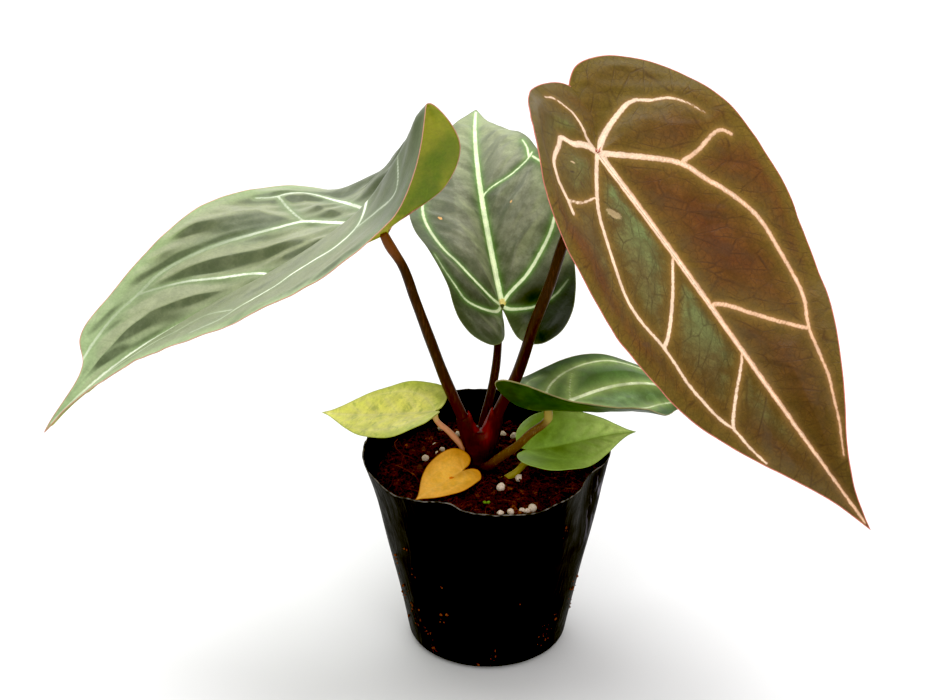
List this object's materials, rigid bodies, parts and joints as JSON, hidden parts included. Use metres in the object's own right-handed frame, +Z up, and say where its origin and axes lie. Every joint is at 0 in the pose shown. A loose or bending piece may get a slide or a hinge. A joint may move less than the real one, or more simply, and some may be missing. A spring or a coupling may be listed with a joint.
{
  "type": "potted anthurium hybrid",
  "caption": "Anthurium hybrid with large heart-shaped velvety leaves and pale ribs on slender stalks, rooted in coarse soil in a thin black nursery pot.",
  "frame": {"origin": "middle of the pot's foot, on the surface it stands on", "axes": "+Z up, +X to the viewer's right along the plant's widest spread, +Y away from the viewer"},
  "size_m": [0.3093, 0.2562, 0.2438],
  "materials": {
    "pot": "glossy thin film, crinkled",
    "soil": "damp coarse coir and bark",
    "crown": "fleshy, satin",
    "left_leaf_blade": "velvety leaf",
    "left_leaf_petiole": "smooth fleshy stalk, satin",
    "back_leaf_blade": "velvety leaf",
    "back_leaf_petiole": "smooth fleshy stalk, satin",
    "right_leaf_blade": "velvety leaf",
    "right_leaf_petiole": "smooth fleshy stalk, satin",
    "low_leaf_blade": "velvety leaf",
    "low_leaf_petiole": "smooth fleshy stalk, satin",
    "light_leaf_blade": "velvety leaf",
    "light_leaf_petiole": "smooth fleshy stalk, satin",
    "yellow_leaf_blade": "velvety leaf",
    "yellow_leaf_petiole": "smooth fleshy stalk, satin",
    "orange_leaf_blade": "velvety leaf",
    "orange_leaf_petiole": "smooth fleshy stalk, satin"
  },
  "bodies": {
    "root": {"pot": "pot", "soil": "soil", "crown": "crown", "left_leaf_blade": "left_leaf_blade", "left_leaf_petiole": "left_leaf_petiole", "back_leaf_blade": "back_leaf_blade", "back_leaf_petiole": "back_leaf_petiole", "right_leaf_blade": "right_leaf_blade", "right_leaf_petiole": "right_leaf_petiole", "low_leaf_blade": "low_leaf_blade", "low_leaf_petiole": "low_leaf_petiole", "light_leaf_blade": "light_leaf_blade", "light_leaf_petiole": "light_leaf_petiole", "yellow_leaf_blade": "yellow_leaf_blade", "yellow_leaf_petiole": "yellow_leaf_petiole", "orange_leaf_blade": "orange_leaf_blade", "orange_leaf_petiole": "orange_leaf_petiole"}
  },
  "joints": []
}
